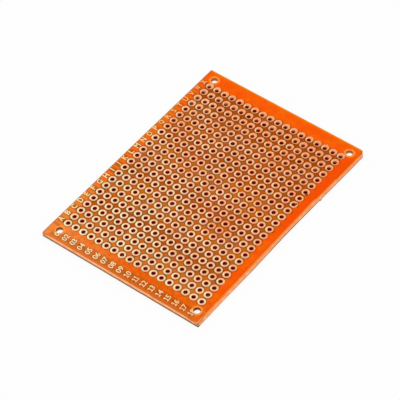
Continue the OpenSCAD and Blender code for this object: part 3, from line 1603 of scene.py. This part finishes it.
    def punching(self) -> GeometryGraph:
        """Plan the punching of the blank, with a finish for each kind of face.

        Returns:
            The tree.
        """
        g = GeometryGraph("punch_sheet")
        for hole in Hole:
            g.offer(**{f"{hole.value}_{name}": kind for name, kind in HOLE_INPUTS.items()})
        g.offer(Thickness="Float", Overrun="Float", Breakout_Depth="Float", Rolled_Depth="Float")
        g.offer(Fray="Float", Inner_X="Float", Inner_Y="Float")
        g.offer(Face="Material", Wall="Material", Edge="Material")
        cut = g.node("GeometryNodeMeshBoolean", operation="DIFFERENCE", solver="MANIFOLD")
        g.tree.links.new(g.inputs.outputs[0], cut.inputs["Mesh 1"])
        for tool in self.punches:
            names = ("X", "Y", "Columns", "Rows", "Middle")
            wide, long, columns, rows, middle = (g.given(f"{tool.hole.value}_{name}") for name in names)
            size = {"Size X": wide, "Size Y": long, "Vertices X": columns, "Vertices Y": rows}
            grid = g.node("GeometryNodeMeshGrid", size)
            moves = {0: grid.outputs[0], "Offset": self.strays(g, tool.hole)}
            struck = g.node("GeometryNodeSetPosition", moves)
            sites = g.node("GeometryNodeTransform", {0: struck.outputs[0], "Translation": middle})
            g.tree.links.new(self.punch(g, tool, sites.outputs[0]), cut.inputs["Mesh 2"])

        # A face that leans is a hole's wall inside the border, and the snapped edge elsewhere
        x, y, _ = g.parts(POSITION)
        *_, up = g.parts("GeometryNodeInputNormal")
        leans = g.math("LESS_THAN", g.math("ABSOLUTE", up), self.level_normal)
        within_x = g.math("LESS_THAN", g.math("ABSOLUTE", x), g.given("Inner_X"))
        within_y = g.math("LESS_THAN", g.math("ABSOLUTE", y), g.given("Inner_Y"))
        inside = g.math("MULTIPLY", within_x, within_y)
        outside = g.math("SUBTRACT", 1.0, inside)
        whole = g.node("GeometryNodeRealizeInstances", {0: cut.outputs[0]}).outputs[0]
        for name, share in (("Face", None), ("Wall", inside), ("Edge", outside)):
            links = {0: whole, "Material": g.given(name)}
            if share:
                links["Selection"] = g.math("MULTIPLY", leans, share)
            whole = g.node("GeometryNodeSetMaterial", links).outputs[0]
        g.close(whole)
        return g

    def build(self) -> bpy.types.Object:
        """Punch, dress and seat the sheet.

        Returns:
            The piece.
        """
        s = self.sizes
        values = {
            "Lead_Columns": s.columns,
            "Lead_Rows": s.rows,
            "Lead_X": (s.columns - 1) * s.pitch * MM,
            "Lead_Y": (s.rows - 1) * s.pitch * MM,
            "Lead_Middle": (0.0, s.grid_shift * MM, 0.0),
            "Lead_Radius": s.lead_radius * MM,
            "Lead_Breakout": s.lead_breakout * MM,
            "Lead_Rolled": s.rolled * MM,
            "Mount_Columns": 2,
            "Mount_Rows": 2,
            "Mount_X": s.mount_span[0] * MM,
            "Mount_Y": s.mount_span[1] * MM,
            "Mount_Middle": (s.mount_middle[0] * MM, s.mount_middle[1] * MM, 0.0),
            "Mount_Radius": s.mount_radius * MM,
            "Mount_Breakout": s.breakout * MM,
            "Mount_Rolled": 0.0,
            "Thickness": s.thickness * MM,
            "Overrun": self.overrun * MM,
            "Breakout_Depth": s.breakout_depth * MM,
            "Fray": self.fray,
            "Rolled_Depth": self.rolled_depth * MM,
            "Inner_X": (s.width / 2 - self.border) * MM,
            "Inner_Y": (s.length / 2 - self.border) * MM,
            "Face": FaceFinish(s).material(),
            "Wall": PunchedWallFinish(s).material(),
            "Edge": BrokenEdgeFinish(s).material(),
        }
        mesh = self.punching().apply("laminate_sheet", self.blank(), values)
        smooth_below(mesh, self.crease)
        return seat(mesh, "laminate_sheet", Slot.PHENOLIC, "laminate")


@dataclass
class PadRows:
    """The copper pads: one etched ring round each lead hole, a piece to each lettered row."""

    sizes: BoardSizes
    copper: bpy.types.Material
    sides: int = 16
    lip: float = 0.025
    drift: float = 0.045
    crease: float = 40.0
    seed: int = 31

    def pad(self, g: GeometryGraph) -> Socket:
        """Lathe one pad.

        Args:
            g: The tree to build in.

        Returns:
            The ring, with its outer half marked.
        """
        inner, outer = g.given("Hole_Radius"), g.given("Pad_Radius")
        foil, lip = g.given("Foil"), g.given("Lip")
        wide = g.math("SUBTRACT", outer, inner)
        shoulder = g.math("SUBTRACT", wide, g.given("Undercut"))

        # The section runs out from the hole's wall, and a sweep turns its -Y upwards
        corners = [
            g.vector(0.0, 0.0, 0.0),
            g.vector(lip, g.math("MULTIPLY", foil, -1.0), 0.0),
            g.vector(shoulder, g.math("MULTIPLY", foil, -1.0), 0.0),
            g.vector(wide, 0.0, 0.0),
        ]
        corner = g.choose(g.node("GeometryNodeInputIndex").outputs[0], corners, "VECTOR")
        loop = g.node("GeometryNodeCurvePrimitiveCircle", {"Resolution": len(corners)})
        section = g.node("GeometryNodeSetPosition", {0: loop.outputs[0], "Position": corner})
        circle = g.node("GeometryNodeCurvePrimitiveCircle", {"Resolution": self.sides, "Radius": inner})
        curves = {"Curve": circle.outputs[0], "Profile Curve": section.outputs[0]}
        ring = g.node("GeometryNodeCurveToMesh", curves)
        x, y, _ = g.parts(POSITION)
        square = g.math("MULTIPLY_ADD", y, y, g.math("MULTIPLY", x, x))
        halfway = g.math("MULTIPLY", g.math("ADD", inner, outer), 0.5)
        beyond = g.math("GREATER_THAN", g.math("SQRT", square), halfway)
        return g.store(ring.outputs[0], OUTER, beyond, "POINT", "FLOAT")

    def row(self, g: GeometryGraph) -> Socket:
        """Set a row of pads, each with a shade and a slip of its own.

        Args:
            g: The tree to build in.

        Returns:
            The row's instances.
        """
        columns, pitch, seed = g.given("Columns"), g.given("Pitch"), g.given("Seed")
        reach = g.math("MULTIPLY", g.math("SUBTRACT", columns, 1.0), pitch)
        start = g.vector(g.math("MULTIPLY", reach, -0.5), 0.0, 0.0)
        steps = {"Count": columns, "Start Location": start, "Offset": g.vector(pitch, 0.0, 0.0)}
        line = g.node("GeometryNodeMeshLine", steps)
        sites = g.node("GeometryNodeTransform", {0: line.outputs[0], "Translation": g.given("Middle")})
        pads = {"Points": sites.outputs[0], "Instance": self.pad(g)}
        copies = g.node("GeometryNodeInstanceOnPoints", pads).outputs[0]
        shade = g.node("FunctionNodeRandomValue", {"Seed": seed}, data_type="FLOAT").outputs[1]
        copies = g.store(copies, TARNISH, shade, "INSTANCE", "FLOAT")
        slip, drift = g.given("Slip"), g.given("Drift")
        least = g.vector(g.math("MULTIPLY", drift, -1.0), g.math("SUBTRACT", slip, drift), 0.0)
        most = g.vector(drift, g.math("ADD", slip, drift), 0.0)
        return g.store(copies, SLIPPED, g.scatter(least, most, seed), "INSTANCE", "FLOAT_VECTOR")

    def tree(self) -> GeometryGraph:
        """Plan a row of pads: the hole's edge of a ring stays with its hole, and the outer edge slips.

        Returns:
            The tree.
        """
        g = GeometryGraph("etched_pad_row")
        g.offer(Columns="Int", Pitch="Float", Middle="Vector", Hole_Radius="Float", Pad_Radius="Float")
        g.offer(Foil="Float", Undercut="Float", Lip="Float", Slip="Float", Drift="Float", Seed="Int")
        g.offer(Finish="Material")
        whole = g.node("GeometryNodeRealizeInstances", {0: self.row(g)})
        outside = g.node("GeometryNodeInputNamedAttribute", {"Name": OUTER}, data_type="FLOAT")
        moved = g.node("GeometryNodeInputNamedAttribute", {"Name": SLIPPED}, data_type="FLOAT_VECTOR")
        moves = {0: whole.outputs[0], "Selection": outside.outputs[0], "Offset": moved.outputs[0]}
        whole = g.node("GeometryNodeSetPosition", moves)
        for name in (OUTER, SLIPPED):
            whole = g.node("GeometryNodeRemoveAttribute", {0: whole.outputs[0], "Name": name})
        dressed = g.node("GeometryNodeSetMaterial", {0: whole.outputs[0], "Material": g.given("Finish")})
        g.close(dressed.outputs[0])
        return g

    def build(self) -> Iterator[bpy.types.Object]:
        """Make and seat the rows.

        Yields:
            Each row's piece.
        """
        s = self.sizes
        tree = self.tree()
        for row in range(s.rows):
            name = f"pad_row_{s.row_letter(row).lower()}"
            across, along = s.struck(row)
            values = {
                "Columns": s.columns,
                "Pitch": s.pitch * MM,
                "Middle": (across * MM, (s.row_y(row) + along) * MM, s.thickness * MM),
                "Hole_Radius": (s.lead_radius + s.rolled) * MM,
                "Pad_Radius": s.pad_radius * MM,
                "Foil": s.foil * MM,
                "Undercut": s.etch_undercut * MM,
                "Lip": self.lip * MM,
                "Slip": s.slip_at(row) * MM,
                "Drift": self.drift * MM,
                "Seed": self.seed + row,
                "Finish": self.copper,
            }
            mesh = tree.apply(name + "_foil", bpy.data.meshes.new(name + "_none"), values)
            smooth_below(mesh, self.crease)
            yield seat(mesh, name + "_foil", Slot.COPPER, name)


@dataclass
class Legend:
    """Row letters and column numbers, etched in the same foil as the pads."""

    sizes: BoardSizes
    copper: bpy.types.Material
    letter_size: Pair = (1.25, 1.6)
    digit_size: Pair = (1.1, 1.55)
    digit_gap: float = 0.03
    bold: float = 0.015
    curve_steps: int = 3
    clearance: float = 0.03
    punch_sides: int = 48

    # Points closer than the one are welded, and edges shorter than the other are taken out
    weld: float = 1e-4
    sliver: float = 1e-5

    # A figure one, drawn with a flag and a foot, in the font's own units
    one: tuple[Pair, ...] = (
        (0.0, 0.0),
        (0.36, 0.0),
        (0.36, 0.1),
        (0.24, 0.1),
        (0.24, 0.69),
        (0.13, 0.69),
        (0.0, 0.59),
        (0.0, 0.47),
        (0.13, 0.55),
        (0.13, 0.1),
        (0.0, 0.1),
    )

    def drawn_one(self) -> bpy.types.Curve:
        """Draw a figure one.

        Returns:
            Its outline.
        """
        curve = bpy.data.curves.new("mark", "CURVE")
        curve.dimensions = "2D"
        curve.fill_mode = "BOTH"
        outline = curve.splines.new("POLY")
        outline.points.add(len(self.one) - 1)
        for point, (x, y) in zip(outline.points, self.one):
            point.co = (x, y, 0.0, 1.0)
        outline.use_cyclic_u = True
        return curve

    def set_in_type(self, character: str) -> bpy.types.Curve:
        """Set any other character in Blender's own type.

        Args:
            character: The character.

        Returns:
            Its outline.
        """
        curve = bpy.data.curves.new("mark", "FONT")
        curve.body = character
        curve.resolution_u = self.curve_steps
        curve.offset = self.bold
        return curve

    def glyph(self, character: str) -> bpy.types.Mesh:
        """Make one character.

        Args:
            character: The character.

        Returns:
            Its mesh, in the font's own units and one unit thick.
        """
        curve = self.drawn_one() if character == "1" else self.set_in_type(character)
        curve.extrude = 0.5
        holder = bpy.data.objects.new("mark", curve)
        mesh = bpy.data.meshes.new_from_object(holder)
        bpy.data.objects.remove(holder)
        bpy.data.curves.remove(curve)
        return mesh

    def mark(self, text: str, size: Pair, place: Matrix) -> list[bpy.types.Mesh]:
        """A mark's characters side by side, as foil-thick meshes.

        Args:
            text: The mark's characters.
            size: The most that one is wide, and their height.
            place: Where the mark's middle goes on the board, in millimetres.

        Returns:
            The characters' meshes, in metres.
        """
        meshes = [self.glyph(character) for character in text]
        lows = [Vector(map(min, zip(*(v.co for v in mesh.vertices)))) for mesh in meshes]
        highs = [Vector(map(max, zip(*(v.co for v in mesh.vertices)))) for mesh in meshes]
        boxes = [high - low for low, high in zip(lows, highs)]
        widths = [min(size[0], box.x * size[1] / box.y) for box in boxes]
        start = -(sum(widths) + self.digit_gap * (len(text) - 1)) / 2
        for mesh, low, high, box, wide in zip(meshes, lows, highs, boxes, widths):
            fit = Matrix.Diagonal((wide / box.x, size[1] / box.y, self.sizes.foil / box.z, 1))
            across = Matrix.Translation((start + wide / 2, 0, 0))
            centred = Matrix.Translation(-(low + high) / 2)
            mesh.transform(Matrix.Scale(MM, 4) @ place @ across @ fit @ centred)
            start += wide + self.digit_gap
        return meshes

    def gather(self, name: str, marks: list[bpy.types.Mesh]) -> bpy.types.Mesh:
        """Join marks into one mesh and weld their faces.

        Args:
            name: The joined mesh's name.
            marks: The marks' meshes, which are used up.

        Returns:
            The joined mesh.
        """
        joined = bmesh.new()
        for mark in marks:
            joined.from_mesh(mark)
            bpy.data.meshes.remove(mark)
        bmesh.ops.remove_doubles(joined, verts=joined.verts, dist=self.weld * MM)
        bmesh.ops.dissolve_degenerate(joined, edges=joined.edges, dist=self.sliver * MM)
        bmesh.ops.recalc_face_normals(joined, faces=joined.faces)
        mesh = bpy.data.meshes.new(name)
        joined.to_mesh(mesh)
        joined.free()
        return mesh

    def punched(self, mesh: bpy.types.Mesh) -> bpy.types.Mesh:
        """Punch the mounting holes through marks that reach over them.

        Args:
            mesh: The marks, which are used up.

        Returns:
            The marks with the holes, under the same name.
        """
        s, name = self.sizes, mesh.name
        radius = (s.mount_radius + self.clearance) * MM
        punch = bmesh.new()
        for x, y in s.mount_sites():
            bmesh.ops.create_cone(
                punch,
                cap_ends=True,
                segments=self.punch_sides,
                radius1=radius,
                radius2=radius,
                depth=s.thickness * MM,
                matrix=Matrix.Translation(Vector((x, y, s.thickness)) * MM),
            )
        cutter_mesh = bpy.data.meshes.new("mount_punch")
        punch.to_mesh(cutter_mesh)
        punch.free()
        cutter = placed("mount_punch", cutter_mesh)
        holder = placed(name + "_blank", mesh)
        cut = holder.modifiers.new("punch", "BOOLEAN")
        cut.operation = "DIFFERENCE"
        cut.solver = "MANIFOLD"
        cut.object = cutter
        result = evaluated(holder)
        bpy.data.objects.remove(cutter)
        bpy.data.meshes.remove(mesh)
        result.name = name
        return result

    def build(self) -> Iterator[bpy.types.Object]:
        """Make and seat the legend.

        Yields:
            The piece of the letters, then that of the numbers.
        """
        s = self.sizes
        height = s.thickness + s.foil / 2
        turn = Matrix.Rotation(math.pi / 2, 4, "Z")
        letters, numbers = [], []
        for row in range(s.rows):
            place = Matrix.Translation((s.letter_x, s.letter_y(row), height)) @ turn
            letters += self.mark(s.row_letter(row), self.letter_size, place)
        for column in range(s.columns):
            place = Matrix.Translation((s.column_x(column) + s.number_shift, s.number_y, height)) @ turn
            numbers += self.mark(f"{column + 1:02d}", self.digit_size, place)
        row_letters = self.gather("row_letters", letters)
        column_numbers = self.punched(self.gather("column_numbers", numbers))
        for mesh in (row_letters, column_numbers):
            mesh.materials.clear()
            mesh.materials.append(self.copper)
            yield seat(mesh, mesh.name, Slot.COPPER)


@dataclass
class Studio:
    """White table, soft light from all round, and the photograph's camera."""

    azimuth: float = 41.5043
    elevation: float = 49.3508
    roll: float = -4.4977
    distance: float = 537.474
    target: Triple = (1.1388, -3.27, 1.2)
    lens: float = 189.199
    sensor: float = 36.0
    clip: Pair = (10.0, 50000.0)
    table: float = 6000.0
    surround: float = 0.8
    key: float = 0.22
    key_angle: float = 50.0
    key_from: Triple = (0.2, -0.75, 1.0)

    def camera(self) -> None:
        """Set the camera where the photograph was taken from."""
        a, e, r = (math.radians(v) for v in (self.azimuth, self.elevation, self.roll))
        back = Vector((math.sin(a) * math.cos(e), -math.cos(a) * math.cos(e), math.sin(e)))
        level = Vector((math.cos(a), math.sin(a), 0))
        rise = back.cross(level)
        right = level * math.cos(r) + rise * math.sin(r)
        up = rise * math.cos(r) - level * math.sin(r)
        data = bpy.data.cameras.new("photo_camera")
        data.sensor_width = self.sensor
        data.lens = self.lens
        data.clip_start, data.clip_end = (reach * MM for reach in self.clip)
        camera = placed("photo_camera", data)
        turned = Matrix((right, up, back)).transposed().to_4x4()
        eye = (Vector(self.target) + back * self.distance) * MM
        camera.matrix_world = Matrix.Translation(eye) @ turned
        bpy.context.scene.camera = camera

    def light(self) -> None:
        """Light the board evenly, with a soft key from the front."""
        world = bpy.data.worlds.new("white_surround")
        world.use_nodes = True
        nodes, links = world.node_tree.nodes, world.node_tree.links
        nodes.clear()
        mix = nodes.new("ShaderNodeMixShader")
        links.new(seen_directly(world.node_tree), mix.inputs[0])
        for socket, strength in ((1, self.surround), (2, 1.0)):
            sky = nodes.new("ShaderNodeBackground")
            sky.inputs["Color"].default_value = (1, 1, 1, 1)
            sky.inputs["Strength"].default_value = strength
            links.new(sky.outputs[0], mix.inputs[socket])
        output = nodes.new("ShaderNodeOutputWorld")
        links.new(mix.outputs[0], output.inputs["Surface"])
        bpy.context.scene.world = world

        data = bpy.data.lights.new("soft_key", "SUN")
        data.energy = self.key * math.pi
        data.angle = math.radians(self.key_angle)
        key = placed("soft_key", data)
        key.rotation_mode = "QUATERNION"
        key.rotation_quaternion = Vector(self.key_from).to_track_quat("Z", "Y")

    def floor(self) -> None:
        """Lay the white table."""
        half = self.table * MM / 2
        corners = [(-half, -half, 0), (half, -half, 0), (half, half, 0), (-half, half, 0)]
        mesh = bpy.data.meshes.new("white_table")
        mesh.from_pydata(corners, [], [(0, 1, 2, 3)])
        mesh.materials.append(FloorFinish().material())
        table = placed("white_table", mesh)
        table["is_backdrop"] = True

    def build(self) -> None:
        """Set the whole studio."""
        bpy.context.scene.view_settings.view_transform = "Standard"
        self.floor()
        self.light()
        self.camera()


def main() -> None:
    """Build the board's pieces in order, then the studio."""
    logging.basicConfig(level=logging.INFO, format="%(message)s")
    sizes = BoardSizes()
    copper = CopperFinish(sizes).material()
    pieces = [Laminate(sizes).build(), *PadRows(sizes, copper).build(), *Legend(sizes, copper).build()]
    for piece in pieces:
        log.info("%s: %d faces", piece.name, len(piece.data.polygons))
    Studio().build()
    boxes = {"cad": cad_box, "visual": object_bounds()}
    {name: [list(corner) for corner in box] for name, box in boxes.items()}


if __name__ == "__main__":
    main()
